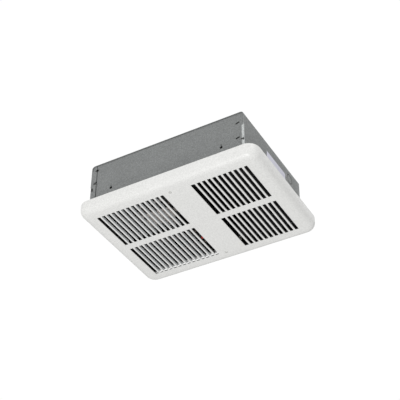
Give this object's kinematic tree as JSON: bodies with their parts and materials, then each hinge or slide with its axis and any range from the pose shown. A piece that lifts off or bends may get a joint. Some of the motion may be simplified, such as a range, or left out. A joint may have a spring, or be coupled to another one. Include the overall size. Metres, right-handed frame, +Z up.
{
  "type": "ceiling fan heater",
  "caption": "Ceiling recessed fan heater: louvred white steel cover under a galvanised box with a fan, finned elements, thermostat and cut-out inside.",
  "frame": {"origin": "middle of the ceiling plane, on which the cover's rear rim rests", "axes": "+X along the long side from the outlet half to the intake half, +Z up into the ceiling"},
  "size_m": [0.45, 0.323, 0.1471],
  "materials": {
    "galvanised_steel": "hot-dip galvanised sheet with faint spangle",
    "bare_paper": "bare adhesive label stock",
    "white_enamel": "baked satin enamel, warm white",
    "white_screw": "painted screw head",
    "white_plastic": "moulded, satin",
    "black_enamel": "black satin enamel",
    "aluminised_steel": "aluminised steel sheet",
    "bright_steel": "bright galvanised strip",
    "zinc_screw": "zinc plated",
    "black_felt": "black glass-fibre lining",
    "fan_aluminium": "stamped aluminium",
    "dark_screw": "black oxide",
    "rotor_metal": "turned laminations",
    "core_steel": "stacked laminations, varnished",
    "coil_tape": "amber winding tape",
    "cast_zinc": "die cast, matt",
    "sintered_bronze": "sintered, oiled",
    "element_sheath": "heat tinted sheath",
    "element_fin": "heat tinted fins",
    "gland_brass": "machined",
    "ceramic": "glazed",
    "black_plastic": "phenolic moulding",
    "red_plastic": "moulded",
    "spindle_plastic": "moulded",
    "earth_green": "green dyed zinc",
    "lead_sleeve": "high-temperature sleeve"
  },
  "bodies": {
    "housing": {"top_and_ends": "galvanised_steel", "near_side_wall": "galvanised_steel", "far_side_wall": "galvanised_steel", "bare_label": "bare_paper", "knockout_disc": "galvanised_steel", "face_cover": "white_enamel", "cover_screws": "white_screw", "cover_screw_brackets": "galvanised_steel", "cover_plug": "white_plastic", "heater_chassis": "black_enamel", "heat_shield": "aluminised_steel", "outlet_collar": "bright_steel", "intake_collar": "black_enamel", "chassis_screws": "zinc_screw", "intake_lining": "black_felt", "fan_ring": "bright_steel", "motor_core": "core_steel", "motor_coil": "coil_tape", "motor_frames": "cast_zinc", "motor_bushes": "sintered_bronze", "motor_bolts": "zinc_screw", "motor_bridge": "galvanised_steel", "bridge_screws": "zinc_screw", "element_sheaths": "element_sheath", "element_fins": "element_fin", "element_brackets": "aluminised_steel", "element_glands": "gland_brass", "terminal_insulators": "ceramic", "terminal_pins": "zinc_screw", "cutout_body": "black_plastic", "cutout_bracket": "aluminised_steel", "fan_delay_switch": "black_plastic", "thermostat_body": "black_plastic", "thermostat_bracket": "black_enamel", "terminal_block": "black_plastic", "terminal_screws": "gland_brass", "earth_screw": "earth_green", "motor_leads": "lead_sleeve", "element_leads": "lead_sleeve", "control_leads": "lead_sleeve"},
    "rotor": {"fan_wheel": "fan_aluminium", "fan_set_screw": "dark_screw", "motor_shaft": "zinc_screw", "motor_rotor": "rotor_metal"},
    "reset_button": {"reset_button": "red_plastic"},
    "thermostat_spindle": {"thermostat_spindle": "spindle_plastic"}
  },
  "joints": [
    {"name": "fan_spin", "type": "hinge", "parent": "housing", "child": "rotor", "pos_m": [-0.1031, 0, 0.036], "axis": [0, 0, 1], "continuous": true},
    {"name": "reset_press", "type": "slide", "parent": "housing", "child": "reset_button", "axis": [0, 0, 1], "range_m": [0, 0.0015], "stiffness_N_per_m": 150},
    {"name": "thermostat_turn", "type": "hinge", "parent": "housing", "child": "thermostat_spindle", "pos_m": [0.04635, 0.1128, -0.01], "axis": [0, 0, 1], "range_deg": [-135, 135]}
  ]
}
